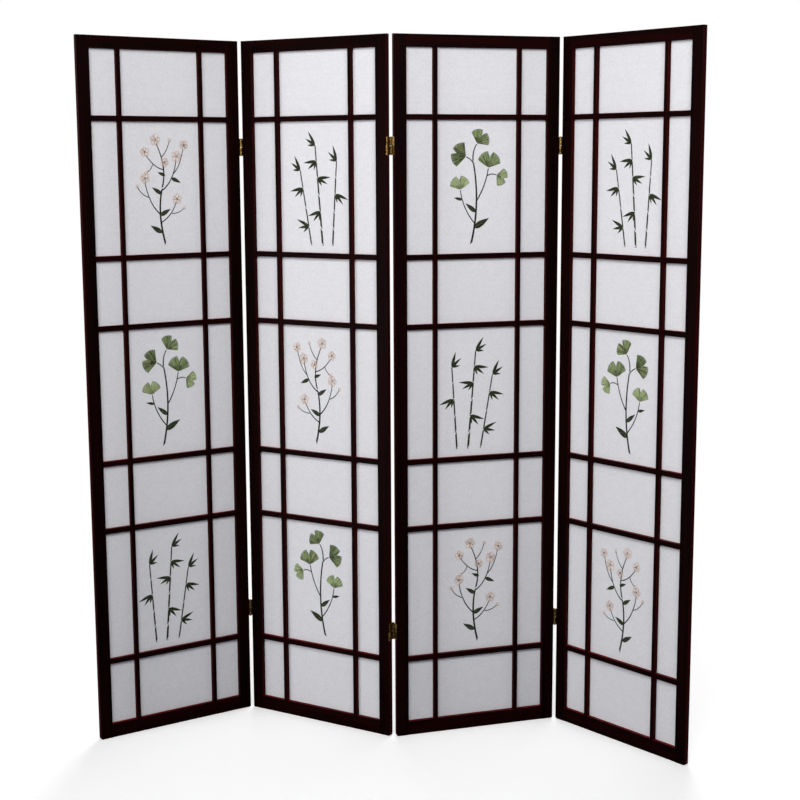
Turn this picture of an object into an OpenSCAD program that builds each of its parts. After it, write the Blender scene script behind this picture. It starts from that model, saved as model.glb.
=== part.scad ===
// Folding screen of four hinged wooden panels. Each panel is a frame with a
// lattice of bars over a sheet of cloth that carries embroidered plants.
// Lengths are millimetres. A panel is drawn in its own frame: x runs from its
// left edge to its right edge, y from its front face to its back face, z up.

/* [Panels] */
// Height of a panel
panel_h = 1800; // [1600:10:2000]
// Width of a panel
panel_w = 441; // [400:1:480]
// Thickness of a panel, front face to back face
panel_t = 14; // [13:0.5:18]
// Width of an upright stile
stile_w = 33; // [28:0.5:42]
// Height of a top rail
top_rail_h = 31; // [28:0.5:50]
// Height of a bottom rail
bottom_rail_h = 37; // [28:1:60]
// Chamfer along the long edges of the frame
edge_chamfer = 1; // [0.4:0.1:2]
// Radius of the two bottom corners of a panel
foot_radius = 5; // [1:0.5:8]

/* [Joinery] */
// Length of the tenons on the rails
tenon_l = 22; // [12:1:26]
// Thickness of the tenons on the rails
tenon_t = 6; // [4:0.5:8]
// Shoulder above and below a rail's tenon
tenon_shoulder = 6; // [4:0.5:8]
// Wood between a rail's tenon and its rebate
tenon_wall = 1; // [0.5:0.5:3]
// Length of the stub tenons on the lattice bars
stub_l = 6; // [3:0.5:9]
// Shoulder on each side of a stub tenon
stub_shoulder = 2; // [1:0.25:3]
// Glue line round tenons and in the lattice's half laps
glue_gap = 0.1; // [0.05:0.05:0.2]

/* [Lattice] */
// Width of a lattice upright
upright_w = 11; // [9:0.5:18]
// Height of a lattice crossbar
crossbar_h = 13.5; // [9:0.5:18]
// Depth of the lattice's front behind the frame's front
lattice_inset = 0.5; // [0.3:0.1:1.5]
// Chamfer along the front edges of the bars
bar_chamfer = 0.8; // [0.3:0.1:1.2]
// Clear width of the two side columns of windows
side_window_w = 70; // [50:1:85]
// Clear height of the small windows
small_window_h = 162.5; // [100:0.5:190]
// Number of large windows in a column
large_rows = 3; // [2:1:4]

/* [Cloth] */
// Thickness of the cloth
cloth_t = 0.4; // [0.3:0.1:0.8]
// Width of the rebate behind the frame that takes the cloth's edge
rebate_w = 7; // [5:0.5:9]
// Depth of that rebate from the frame's back face
rebate_t = 3; // [2.5:0.5:4]
// Side clearance of the cloth and of its backing strips in the rebate
rebate_gap = 0.2; // [0.1:0.1:0.5]
// Depth of the backing strips below the frame's back face
strip_inset = 0.5; // [0:0.1:1]
// Height of the embroidery's stitches above the cloth
stitch_t = 0.6; // [0.4:0.1:1]

/* [Hinges] */
// Height of a hinge's plates
hinge_h = 44; // [40:1:60]
// Height of the lower hinges' middle above the floor
low_hinge_z = 284; // [150:1:400]
// Drop from the top of a panel to the upper hinges' middle
high_hinge_drop = 271; // [150:1:400]
// Outer diameter of the rolled knuckles
knuckle_d = 5.6; // [5:0.1:7]
// Gap between two panels at a fold, edge to edge
hinge_gap = 4.8; // [4.6:0.1:6]
// Length of the knuckles on a plate
knuckle_l = 5; // [4:0.5:7]
// Play between neighbouring knuckles along a pin
knuckle_gap = 0.3; // [0.2:0.1:0.5]
// Clearance between a knuckle and the panel that folds against it
fold_gap = 0.4; // [0.3:0.1:1]
// Thickness of the plates on the panels' edges
plate_t = 1.4; // [1.2:0.1:1.5]
// Thickness of the links between the plates
link_t = 1.4; // [1:0.1:1.5]
// Space between the upper and the lower half of a hinge
half_gap = 2.4; // [2.2:0.1:4]
// Diameter of the hinge pins
pin_d = 2.4; // [2:0.1:3]
// Radial play between a pin and its knuckles
pin_play = 0.05; // [0.02:0.01:0.08]
// Diameter of the heads at both ends of a pin
pin_head_d = 4.4; // [3.6:0.1:4.8]
// Thickness of a pin's heads
pin_head_t = 0.9; // [0.5:0.1:1]

/* [Screws] */
// Diameter of the hinge screws
screw_d = 2.6; // [2:0.1:3.2]
// Length of the hinge screws
screw_l = 14; // [10:1:20]
// Diameter of their countersunk heads
screw_head_d = 5; // [4.4:0.1:6]
// Depth of the countersunk heads
screw_head_t = 1.1; // [0.8:0.1:1.2]
// Width and depth of the slot in a head
screw_slot = 0.6; // [0.4:0.1:0.8]
// Radial play of a screw in its holes
screw_play = 0.1; // [0.05:0.05:0.2]

/* [Standing pose] */
// Plan angle of the second panel, turned out of the screen's own line
second_panel_turn = -29.8; // [-45:0.1:-15]
// Fold between the first and the second panel, front faces coming together
first_fold = 64.3; // [20:0.1:120]
// Fold between the second and the third panel, back faces coming together
second_fold = 48.2; // [20:0.1:120]
// Fold between the third and the fourth panel, front faces coming together
third_fold = 66.5; // [20:0.1:120]

/* [Hidden] */
$fn = 48;
wood_colour = [0.17, 0.035, 0.035];
cloth_colour = [0.88, 0.87, 0.90];
thread_colour = [0.22, 0.30, 0.18];
brass_colour = [0.62, 0.50, 0.27];
cut = 1;
foot_step = 15;

window_h = panel_h - bottom_rail_h - top_rail_h;
window_w = panel_w - 2 * stile_w;
rebate_y = panel_t - rebate_t;
lattice_t = rebate_y - lattice_inset;
large_window_h = (window_h - (large_rows + 1) * small_window_h - 2 * large_rows * crossbar_h) / large_rows;
upright_x = [stile_w + side_window_w, panel_w - stile_w - side_window_w - upright_w];
middle_window_w = upright_x[1] - upright_x[0] - upright_w;
crossbar_z = [for (i = [0:2 * large_rows - 1]) bottom_rail_h + i * crossbar_h
    + small_window_h * (floor(i / 2) + 1) + large_window_h * floor((i + 1) / 2)];
large_window_z = [for (i = [0:large_rows - 1]) crossbar_z[2 * i] + crossbar_h];

knuckle_r = knuckle_d / 2;
axis_y = [-(knuckle_r + fold_gap), panel_t + knuckle_r + fold_gap];
hinge_z = [low_hinge_z, panel_h - high_hinge_drop];
half_h = (hinge_h - half_gap) / 2;
link_knuckle_l = half_h - 2 * (knuckle_l + knuckle_gap);
bore_r = pin_d / 2 + pin_play;
LEFT = -1;
RIGHT = 1;
LOWER = -1;
UPPER = 1;

// Which axis each fold turns about: 0 is the front one, 1 the back one
fold_axis = [0, 1, 0];
panel_turn = [second_panel_turn + first_fold, second_panel_turn,
    second_panel_turn + second_fold, second_panel_turn + second_fold - third_fold];

function turned(p, a) = [p.x * cos(a) - p.y * sin(a), p.x * sin(a) + p.y * cos(a)];
function axis_at(fold, side) = [side == RIGHT ? panel_w + hinge_gap / 2 : -hinge_gap / 2,
    axis_y[fold_axis[fold]]];
function next_corner(corner, i) = corner + turned(axis_at(i, RIGHT), panel_turn[i])
    - turned(axis_at(i, LEFT), panel_turn[i + 1]);
second_corner = [0, 0];
first_corner = second_corner + turned(axis_at(0, LEFT), panel_turn[1])
    - turned(axis_at(0, RIGHT), panel_turn[0]);
third_corner = next_corner(second_corner, 1);
fourth_corner = next_corner(third_corner, 2);
corners = [first_corner, second_corner, third_corner, fourth_corner];

// The screen's box in plan, from the panels' outlines and the knuckles
panel_plan = [for (x = [0, panel_w], y = [0, panel_t], c = [[1, 0], [0, 1]] * edge_chamfer)
    [x == 0 ? c.x : x - c.x, y == 0 ? c.y : y - c.y]];
plan_points = [for (k = [0:3], p = panel_plan) corners[k] + turned(p, panel_turn[k])];
knuckle_points = [for (k = [0:3], side = [LEFT, RIGHT], y = axis_y) if (k + side >= 0 && k + side <= 3)
    corners[k] + turned([side == RIGHT ? panel_w + hinge_gap / 2 : -hinge_gap / 2, y], panel_turn[k])];
low = [for (i = [0, 1]) min(min([for (p = plan_points) p[i]]),
    min([for (p = knuckle_points) p[i]]) - knuckle_r)];
high = [for (i = [0, 1]) max(max([for (p = plan_points) p[i]]),
    max([for (p = knuckle_points) p[i]]) + knuckle_r)];
centre = (low + high) / 2;

PIECES = ["left_stile", "right_stile", "top_rail", "bottom_rail", "uprights", "crossbars",
    "cloth", "backing_strips", "embroidery", "hinge_pins", "hinge_screws"];

// Moves what is drawn in a panel's own frame to where that panel stands
module on_panel(k) {
    translate([corners[k - 1].x - centre.x, corners[k - 1].y - centre.y, 0])
        rotate(panel_turn[k - 1]) children();
}

// A frame with x out of the panel's edge, repeated at both hinges
module at_hinges(side) {
    for (z = hinge_z)
        translate([side == RIGHT ? panel_w : 0, 0, z])
            mirror([side == RIGHT ? 0 : 1, 0, 0]) children();
}

function has_hinge(k, side) = k + side >= 1 && k + side <= 4;

// A rectangle with its two front corners chamfered
module eased_front(w, t, ease) {
    polygon([[ease, 0], [w - ease, 0], [w, ease], [w, t], [0, t], [0, ease]]);
}

// Left stile with its edge at x = 0; the right one is its mirror image
module stile(k, side) {
    e = edge_chamfer;
    color(wood_colour) difference() {
        linear_extrude(panel_h)
            polygon([[e, 0], [stile_w - e, 0], [stile_w, e], [stile_w, panel_t - e],
                [stile_w - e, panel_t], [e, panel_t], [0, panel_t - e], [0, e]]);
        translate([stile_w - rebate_w, rebate_y, bottom_rail_h - rebate_w])
            cube([rebate_w + cut, panel_t, window_h + 2 * rebate_w]);
        rail_mortise(0, bottom_rail_h);
        rail_mortise(panel_h - top_rail_h, top_rail_h);
        for (z = crossbar_z)
            stub_mortise([stile_w - stub_l, z + stub_shoulder],
                [stub_l + cut, crossbar_h - 2 * stub_shoulder]);
        translate([0, panel_t + cut, 0]) rotate([90, 0, 0]) linear_extrude(panel_t + 2 * cut)
            polygon(concat([[-cut, foot_radius], [-cut, -cut], [foot_radius, -cut]],
                [for (a = [0:foot_step:90]) foot_radius * [1 - sin(a), 1 - cos(a)]]));
        if (has_hinge(k, side))
            for (z = hinge_z, half = [LOWER, UPPER])
                translate([-cut, panel_t / 2, z + half * hinge_h / 4]) rotate([0, 90, 0])
                    cylinder(h = screw_l + cut, r = screw_d / 2 + screw_play);
    }
}

// Socket in a stile for a rail's tenon, for a rail that stands on z
module rail_mortise(z, rail_h) {
    low_end = z == 0 ? tenon_shoulder : rebate_w + tenon_wall;
    high_end = z == 0 ? rebate_w + tenon_wall : tenon_shoulder;
    translate([stile_w - tenon_l - glue_gap, (panel_t - tenon_t) / 2 - glue_gap, z + low_end - glue_gap])
        cube([tenon_l + glue_gap + cut, tenon_t + 2 * glue_gap, rail_h - low_end - high_end + 2 * glue_gap]);
}

// Socket for a lattice bar's stub, from the stub's low corner and size in x and z
module stub_mortise(at, size) {
    translate([at.x - glue_gap, lattice_inset + stub_shoulder - glue_gap, at.y - glue_gap])
        cube([size.x, lattice_t - 2 * stub_shoulder, size.y] + 2 * glue_gap * [1, 1, 1]);
}

module left_stile(k) {
    on_panel(k) stile(k, LEFT);
}

module right_stile(k) {
    on_panel(k) translate([panel_w, 0, 0]) mirror([1, 0, 0]) stile(k, RIGHT);
}

// Bottom rail between the stiles, standing on z = 0, its rebate on top
module rail(rail_h) {
    e = edge_chamfer;
    color(wood_colour) difference() {
        union() {
            translate([stile_w, 0, 0]) rotate([90, 0, 90]) linear_extrude(window_w)
                polygon([[e, 0], [panel_t - e, 0], [panel_t, e], [panel_t, rail_h - rebate_w],
                    [rebate_y, rail_h - rebate_w], [rebate_y, rail_h], [e, rail_h],
                    [0, rail_h - e], [0, e]]);
            translate([stile_w - tenon_l, (panel_t - tenon_t) / 2, tenon_shoulder])
                cube([window_w + 2 * tenon_l, tenon_t, rail_h - tenon_shoulder - rebate_w - tenon_wall]);
        }
        for (x = upright_x)
            stub_mortise([x + stub_shoulder, rail_h - stub_l],
                [upright_w - 2 * stub_shoulder, stub_l + cut]);
    }
}

module bottom_rail(k) {
    on_panel(k) rail(bottom_rail_h);
}

module top_rail(k) {
    on_panel(k) translate([0, 0, panel_h]) mirror([0, 0, 1]) rail(top_rail_h);
}

// The two lattice uprights, notched from behind where the crossbars pass
module uprights(k) {
    on_panel(k) color(wood_colour) for (x = upright_x) difference() {
        union() {
            translate([x, lattice_inset, bottom_rail_h]) linear_extrude(window_h)
                eased_front(upright_w, lattice_t, bar_chamfer);
            translate([x + stub_shoulder, lattice_inset + stub_shoulder, bottom_rail_h - stub_l])
                cube([upright_w - 2 * stub_shoulder, lattice_t - 2 * stub_shoulder, window_h + 2 * stub_l]);
        }
        for (z = crossbar_z)
            translate([x - cut, lattice_inset + lattice_t / 2, z - glue_gap])
                cube([upright_w + 2 * cut, lattice_t, crossbar_h + 2 * glue_gap]);
    }
}

// The crossbars, notched from the front where they pass behind the uprights
module crossbars(k) {
    on_panel(k) color(wood_colour) for (z = crossbar_z) difference() {
        union() {
            translate([stile_w, lattice_inset, z + crossbar_h]) rotate([0, 90, 0])
                linear_extrude(window_w) polygon([[bar_chamfer, 0], [crossbar_h - bar_chamfer, 0],
                    [crossbar_h, bar_chamfer], [crossbar_h, lattice_t], [0, lattice_t], [0, bar_chamfer]]);
            translate([stile_w - stub_l, lattice_inset + stub_shoulder, z + stub_shoulder])
                cube([window_w + 2 * stub_l, lattice_t - 2 * stub_shoulder, crossbar_h - 2 * stub_shoulder]);
        }
        for (x = upright_x)
            translate([x - glue_gap, lattice_inset - cut, z - cut])
                cube([upright_w + 2 * glue_gap, lattice_t / 2 + cut, crossbar_h + 2 * cut]);
    }
}

// The cloth lies against the back of the lattice, its edge in the rebate
module cloth(k) {
    overlap = rebate_w - rebate_gap;
    on_panel(k) color(cloth_colour)
        translate([stile_w - overlap, rebate_y, bottom_rail_h - overlap])
            cube([window_w + 2 * overlap, cloth_t, window_h + 2 * overlap]);
}

// Four strips that hold the cloth in the rebate
module backing_strips(k) {
    strip_w = rebate_w - rebate_gap;
    strip_t = panel_t - strip_inset - rebate_y - cloth_t;
    strip_y = rebate_y + cloth_t;
    on_panel(k) color(wood_colour) {
        for (x = [stile_w - strip_w, panel_w - stile_w])
            translate([x, strip_y, bottom_rail_h - strip_w])
                cube([strip_w, strip_t, window_h + 2 * strip_w]);
        for (z = [bottom_rail_h - strip_w, panel_h - top_rail_h])
            translate([stile_w + rebate_gap, strip_y, z])
                cube([window_w - 2 * rebate_gap, strip_t, strip_w]);
    }
}

// Hinge plate on a panel's edge. Its front knuckles are in one half of its
// height and its back knuckles in the other half
module hinge_plate(front_half) {
    color(brass_colour) difference() {
        union() {
            translate([0, 0, -hinge_h / 2]) cube([plate_t, panel_t, hinge_h]);
            for (face = [0, 1], z = plate_knuckle_z(face == 0 ? front_half : -front_half)) {
                translate([hinge_gap / 2, axis_y[face], z]) cylinder(h = knuckle_l, r = knuckle_r);
                translate([0, min(axis_y[face], panel_t), z])
                    cube([plate_t, knuckle_r + fold_gap, knuckle_l]);
            }
        }
        for (face = [0, 1])
            translate([hinge_gap / 2, axis_y[face], -hinge_h / 2 - cut])
                cylinder(h = hinge_h + 2 * cut, r = bore_r);
        for (half = [LOWER, UPPER])
            translate([plate_t, panel_t / 2, half * hinge_h / 4]) rotate([0, -90, 0]) {
                translate([0, 0, -cut]) cylinder(h = plate_t + 2 * cut, r = screw_d / 2 + screw_play);
                cylinder(h = screw_head_t, r1 = screw_head_d / 2 + screw_play,
                    r2 = screw_d / 2 + screw_play);
            }
    }
}

// Low ends of a plate's two knuckles in one half of the hinge
function half_low(half) = half == UPPER ? half_gap / 2 : -hinge_h / 2;
function plate_knuckle_z(half) = [half_low(half), half_low(half) + half_h - knuckle_l];

// Link that joins one panel's front knuckles to the other's back knuckles
module hinge_link(half) {
    z = half_low(half);
    knuckle_z = z + knuckle_l + knuckle_gap;
    clear = knuckle_r + fold_gap;
    color(brass_colour) difference() {
        union() {
            translate([(hinge_gap - link_t) / 2, axis_y[0] + clear, z])
                cube([link_t, axis_y[1] - axis_y[0] - 2 * clear, half_h]);
            translate([(hinge_gap - link_t) / 2, axis_y[0], knuckle_z])
                cube([link_t, axis_y[1] - axis_y[0], link_knuckle_l]);
            for (y = axis_y)
                translate([hinge_gap / 2, y, knuckle_z]) cylinder(h = link_knuckle_l, r = knuckle_r);
        }
        for (y = axis_y)
            translate([hinge_gap / 2, y, knuckle_z - cut])
                cylinder(h = link_knuckle_l + 2 * cut, r = bore_r);
    }
}

// A pin through one half of the hinge, with a flat head at each end
module hinge_pin(half) {
    translate([0, 0, half_low(half)]) rotate_extrude()
        polygon([[0, -pin_head_t], [pin_head_d / 2, -pin_head_t], [pin_head_d / 2, 0], [pin_d / 2, 0],
            [pin_d / 2, half_h], [pin_head_d / 2, half_h], [pin_head_d / 2, half_h + pin_head_t],
            [0, half_h + pin_head_t]]);
}

// A slotted countersunk screw, its head flush with the plate
module hinge_screw() {
    tip_l = screw_d;
    translate([plate_t, 0, 0]) rotate([0, -90, 0]) difference() {
        rotate_extrude() polygon([[0, 0], [screw_head_d / 2, 0], [screw_d / 2, screw_head_t],
            [screw_d / 2, screw_l - tip_l], [0, screw_l]]);
        translate([-screw_head_d, -screw_slot / 2, -cut])
            cube([2 * screw_head_d, screw_slot, screw_slot + cut]);
    }
}

module hinge_plates(k, side) {
    on_panel(k) at_hinges(side) hinge_plate(side == RIGHT ? LOWER : UPPER);
}

// The pins that turn in this panel's own knuckles
module hinge_pins(k) {
    on_panel(k) color(brass_colour) for (side = [LEFT, RIGHT]) if (has_hinge(k, side))
        at_hinges(side) {
            front_half = side == RIGHT ? LOWER : UPPER;
            translate([hinge_gap / 2, axis_y[0], 0]) hinge_pin(front_half);
            translate([hinge_gap / 2, axis_y[1], 0]) hinge_pin(-front_half);
        }
}

module hinge_screws(k) {
    on_panel(k) color(brass_colour) for (side = [LEFT, RIGHT]) if (has_hinge(k, side))
        at_hinges(side) for (half = [LOWER, UPPER])
            translate([0, panel_t / 2, half * hinge_h / 4]) hinge_screw();
}

// A fold's two links of one half. They stay with the panel whose knuckles
// aren't on the fold's axis
module fold_links(f, half) {
    on_left = (fold_axis[f - 1] == 0) == (half == UPPER);
    on_panel(on_left ? f : f + 1) at_hinges(on_left ? RIGHT : LEFT) hinge_link(half);
}

// Embroidered plants. A motif is drawn round the middle of its window, in a
// field of motif_w by motif_h, and follows the window's size
motif_w = 170;
motif_h = 280;
motif_margin = 20;
motif_scale = [(middle_window_w - 2 * motif_margin) / motif_w,
    (large_window_h - 2 * motif_margin) / motif_h];
// Motifs of each panel from the bottom up: 0 bamboo, 1 blossom, 2 ginkgo
motif_order = [[0, 2, 1], [2, 1, 0], [1, 0, 2], [1, 2, 0]];
outline_steps = 5;

// A curve that leaves p[0], bends towards p[1] and ends at p[2]
function bend(p, t) = (1 - t) * (1 - t) * p[0] + 2 * t * (1 - t) * p[1] + t * t * p[2];
function heading(p, t) = let (d = (1 - t) * (p[1] - p[0]) + t * (p[2] - p[1])) d / norm(d);
function side_step(p, t, w) = let (d = heading(p, t)) [-d.y, d.x] * w / 2;
function ramp(w, t) = w[0] + (w[1] - w[0]) * t;

module stem(p, w) {
    n = outline_steps;
    polygon(concat([for (i = [0:n]) bend(p, i / n) + side_step(p, i / n, ramp(w, i / n))],
        [for (i = [n:-1:0]) bend(p, i / n) - side_step(p, i / n, ramp(w, i / n))]));
}

// A pointed leaf from its foot, widest a third of the way along
module leaf(foot, angle, length, width) {
    n = outline_steps;
    half = [for (i = [0:n]) [length * i / n, width / 2 * sin(180 * pow(i / n, 0.7))]];
    translate(foot) rotate(angle)
        polygon(concat(half, [for (i = [n - 1:-1:1]) [half[i].x, -half[i].y]]));
}

// A five-petalled flower
module flower(at, r, angle) {
    petal_r = 0.42 * r;
    translate(at) rotate(angle) {
        circle(r = 0.3 * r, $fn = 8);
        for (i = [0:4]) rotate(72 * i) translate([r - petal_r, 0]) circle(r = petal_r, $fn = 10);
    }
}

module bud(at, r) {
    translate(at) circle(r = r, $fn = 8);
}

// A ginkgo leaf: a fan with a cleft in the middle of its rim
module fan(foot, angle, r) {
    spread = 64;
    rim = 12;
    translate(foot) rotate(angle) polygon(concat([[-1.5, 0.8], [-1.5, -0.8]],
        [for (i = [0:rim]) let (a = spread * (2 * i / rim - 1), cleft = i == rim / 2 ? 0.62 : 1)
            r * cleft * (1 - 0.16 * pow(a / spread, 2)) * [cos(a), sin(a)]]));
}

// Each branch is a curve's three points and its widths at both ends
module branches(list) {
    for (b = list) stem([b[0], b[1], b[2]], [b[3], b[4]]);
}

// Each leaf is its foot, its angle, its length and its width
module leaves(list) {
    for (l = list) leaf(l[0], l[1], l[2], l[3]);
}

// Bamboo: jointed canes from the foot of the window, leaves in threes
module bamboo() {
    canes = [[[-20, -140], [0, 104], 4.4, 6], [[-50, -140], [-64, 66], 3.6, 5],
        [[14, -140], [46, 44], 3, 4]];
    joint_gap = 2;
    for (c = canes) for (i = [0:c[3] - 1]) {
        from = c[0] + (c[1] - c[0]) * i / c[3];
        to = c[0] + (c[1] - c[0]) * (i + 1) / c[3] - [0, joint_gap];
        stem([from, (from + to) / 2, to], [1, 1] * c[2] * (1 - 0.08 * i));
    }
    blades = [[38, 6], [32, 5.5], [22, 5]];
    sprays = [[[0, 102], 58, -30], [[-3, 63], -6, -32], [[-7, 22], 176, 30], [[-64, 64], 74, -34],
        [[-61, -16], 200, 30], [[46, 42], 64, -32], [[39, -2], -12, -30], [[-13, -58], -18, -32],
        [[22, -94], 24, -34]];
    for (s = sprays, j = [0:2]) leaf(s[0], s[1] + j * s[2], blades[j][0], blades[j][1]);
}

// Blossom: a slender branch with twigs, flowers, buds and a few leaves
module blossom() {
    branches([[[8, -138], [-14, -60], [2, 0], 3.6, 2.8], [[2, 0], [18, 50], [-12, 108], 2.8, 1.4],
        [[-6, -62], [-36, -36], [-44, 16], 2.2, 1.3], [[1, -6], [34, 14], [42, 68], 2.2, 1.4],
        [[9, 44], [-18, 48], [-40, 80], 1.8, 1.2], [[-5, -84], [26, -70], [40, -34], 2, 1.2],
        [[33, 34], [54, 52], [62, 96], 1.6, 1.2], [[-35, -22], [-54, -16], [-64, 2], 1.4, 1],
        [[26, -62], [48, -62], [60, -50], 1.4, 1], [[-22, 58], [-26, 44], [-38, 38], 1.2, 1],
        [[2, 74], [18, 88], [24, 112], 1.4, 1]]);
    leaves([[[-1, -108], 150, 32, 9], [[-5, -66], 28, 28, 8], [[0, -14], 148, 26, 7],
        [[28, 24], -24, 24, 7], [[11, 30], 158, 20, 6]]);
    flowers = [[[-14, 116], 13, 10], [[-44, 24], 12, 40], [[43, 76], 13, 0], [[-43, 87], 11, 25],
        [[64, 103], 11, 50], [[42, -27], 12, 15], [[10, 62], 10, 60]];
    for (f = flowers) flower(f[0], f[1], f[2]);
    for (b = [[-65, 5], [62, -48], [-40, 38], [25, 115]]) bud(b, 3.4);
}

// Ginkgo: a slender stem with fan leaves
module ginkgo() {
    branches([[[-14, -138], [12, -40], [-8, 60], 3.4, 2.4], [[-8, 60], [-12, 84], [2, 104], 2.4, 1.6],
        [[0.6, -34], [26, 4], [32, 46], 2.2, 1.6], [[-4, -87], [-36, -52], [-42, -6], 2, 1.4],
        [[28, 26], [40, 34], [54, 28], 1.6, 1.6], [[-8, 56], [-12, 66], [-28, 72], 1.6, 1.6]]);
    leaves([[[-6, -98], 30, 40, 10], [[-1, -60], 142, 28, 8], [[-37, -30], 168, 18, 5]]);
    fans = [[[2, 104], 55, 34], [[-28, 72], 160, 38], [[32, 46], 82, 38], [[-42, -6], 98, 32],
        [[54, 28], -24, 28]];
    for (f = fans) fan(f[0], f[1], f[2]);
}

module motif(kind) {
    if (kind == 0) bamboo();
    if (kind == 1) blossom();
    if (kind == 2) ginkgo();
}

module embroidery(k) {
    merge = 0.05;
    on_panel(k) color(thread_colour) for (row = [0:large_rows - 1])
        translate([(upright_x[0] + upright_x[1] + upright_w) / 2, rebate_y,
            large_window_z[row] + large_window_h / 2])
            rotate([90, 0, 0]) linear_extrude(stitch_t) offset(delta = merge)
                mirror([k % 2 == 0 ? 1 : 0, 0]) scale(motif_scale)
                    motif(motif_order[k - 1][row % 3]);
}

for (k = [1:4]) {
    left_stile(k);
    right_stile(k);
    top_rail(k);
    bottom_rail(k);
    uprights(k);
    crossbars(k);
    cloth(k);
    backing_strips(k);
    embroidery(k);
    hinge_pins(k);
    hinge_screws(k);
}
for (k = [1:3])
    hinge_plates(k, RIGHT);
for (k = [2:4])
    hinge_plates(k, LEFT);
for (f = [1:3]) {
    fold_links(f, UPPER);
    fold_links(f, LOWER);
}
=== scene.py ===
"""Folding screen: four lattice panels with embroidered cloth, joined by double-action hinges.

Lengths are metres, except in the embroidery's drawing, which is in millimetres. A panel is drawn in
its own frame, x from its left edge to its right edge, y from its front face to its back face and z
up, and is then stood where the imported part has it.
"""
import math

import bpy
import numpy as np
from mathutils import Matrix, Vector


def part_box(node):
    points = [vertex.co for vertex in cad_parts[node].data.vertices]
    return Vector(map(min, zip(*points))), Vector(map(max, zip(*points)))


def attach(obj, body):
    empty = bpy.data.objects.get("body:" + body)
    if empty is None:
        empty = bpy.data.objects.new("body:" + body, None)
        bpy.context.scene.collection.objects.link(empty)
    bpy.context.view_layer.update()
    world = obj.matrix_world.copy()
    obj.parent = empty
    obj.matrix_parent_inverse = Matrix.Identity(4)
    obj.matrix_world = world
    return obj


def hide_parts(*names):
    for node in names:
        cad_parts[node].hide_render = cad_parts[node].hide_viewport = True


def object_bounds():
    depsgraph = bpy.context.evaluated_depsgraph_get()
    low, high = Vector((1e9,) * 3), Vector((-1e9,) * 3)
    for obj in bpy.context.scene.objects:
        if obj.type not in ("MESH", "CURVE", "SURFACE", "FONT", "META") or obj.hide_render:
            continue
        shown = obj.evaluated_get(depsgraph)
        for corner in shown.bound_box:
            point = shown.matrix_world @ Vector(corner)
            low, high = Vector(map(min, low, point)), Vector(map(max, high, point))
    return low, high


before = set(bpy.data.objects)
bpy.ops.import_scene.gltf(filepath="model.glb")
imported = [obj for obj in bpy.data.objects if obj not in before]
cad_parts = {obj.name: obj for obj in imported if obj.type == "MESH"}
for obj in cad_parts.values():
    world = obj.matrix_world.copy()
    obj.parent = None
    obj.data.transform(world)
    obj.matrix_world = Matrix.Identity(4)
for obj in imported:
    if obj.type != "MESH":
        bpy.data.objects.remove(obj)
cad_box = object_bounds()

# Sizes of the screen, as the part's source has them
PANEL_H, PANEL_W, PANEL_T = 1.8, 0.441, 0.014
STILE_W, TOP_RAIL_H, BOTTOM_RAIL_H = 0.033, 0.031, 0.037
UPRIGHT_W, CROSSBAR_H, SIDE_WINDOW_W, SMALL_WINDOW_H = 0.011, 0.0135, 0.070, 0.1625
REBATE_Y, REBATE_W, REBATE_GAP, CLOTH_T = 0.011, 0.007, 0.0002, 0.0004
KNUCKLE_R, FOLD_GAP, HINGE_GAP = 0.0028, 0.0004, 0.0048
SECOND_PANEL_TURN, FOLDS = -29.8, (64.3, 48.2, 66.5)
PANELS = (1, 2, 3, 4)

LARGE_WINDOW_H = (PANEL_H - BOTTOM_RAIL_H - TOP_RAIL_H - 4 * SMALL_WINDOW_H - 6 * CROSSBAR_H) / 3
UPRIGHT_X = (STILE_W + SIDE_WINDOW_W, PANEL_W - STILE_W - SIDE_WINDOW_W - UPRIGHT_W)


def crossbar_z(i):
    """The underside of crossbar i, from the bottom up. Small and large windows take turns."""
    small, large = i // 2 + 1, (i + 1) // 2
    return BOTTOM_RAIL_H + i * CROSSBAR_H + SMALL_WINDOW_H * small + LARGE_WINDOW_H * large


CROSSBAR_Z = [crossbar_z(i) for i in range(6)]


# Where the panels stand ---------------------------------------------------------------------------

# How far each panel is turned from the screen's front, in degrees
TURNS = [SECOND_PANEL_TURN + FOLDS[0], SECOND_PANEL_TURN, SECOND_PANEL_TURN + FOLDS[1],
         SECOND_PANEL_TURN + FOLDS[1] - FOLDS[2]]


def turned(x, y, angle):
    """A place in plan, turned about the origin."""
    c, s = math.cos(math.radians(angle)), math.sin(math.radians(angle))
    return np.array([x * c - y * s, x * s + y * c])


def panel_corners():
    """Each panel's front left corner in plan, from the folds' axes and the second panel's place."""
    front, back = -(KNUCKLE_R + FOLD_GAP), PANEL_T + KNUCKLE_R + FOLD_GAP
    axis_y = (front, back, front)
    left_axis, right_axis = -HINGE_GAP / 2, PANEL_W + HINGE_GAP / 2
    corners = {1: np.zeros(2)}
    corners[0] = (corners[1] + turned(left_axis, axis_y[0], TURNS[1])
                  - turned(right_axis, axis_y[0], TURNS[0]))
    for i in (1, 2):
        corners[i + 1] = (corners[i] + turned(right_axis, axis_y[i], TURNS[i])
                          - turned(left_axis, axis_y[i], TURNS[i + 1]))
    # The second panel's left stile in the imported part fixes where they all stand
    low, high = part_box("panel_2_left_stile")
    outline = [turned(x, y, TURNS[1]) for x in (0, STILE_W) for y in (0, PANEL_T)]
    middle = (np.min(outline, axis=0) + np.max(outline, axis=0)) / 2
    shift = (np.array(low[:2]) + np.array(high[:2])) / 2 - middle
    return [corners[i] + shift for i in range(4)]


CORNERS = panel_corners()


def directions_on_panel(vectors, k):
    """Directions of a panel's own frame, turned as panel k is."""
    vectors = np.asarray(vectors, float).reshape(-1, 3)
    x, y = turned(vectors[:, 0], vectors[:, 1], TURNS[k - 1])
    return np.stack([x, y, vectors[:, 2]], axis=1)


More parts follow.
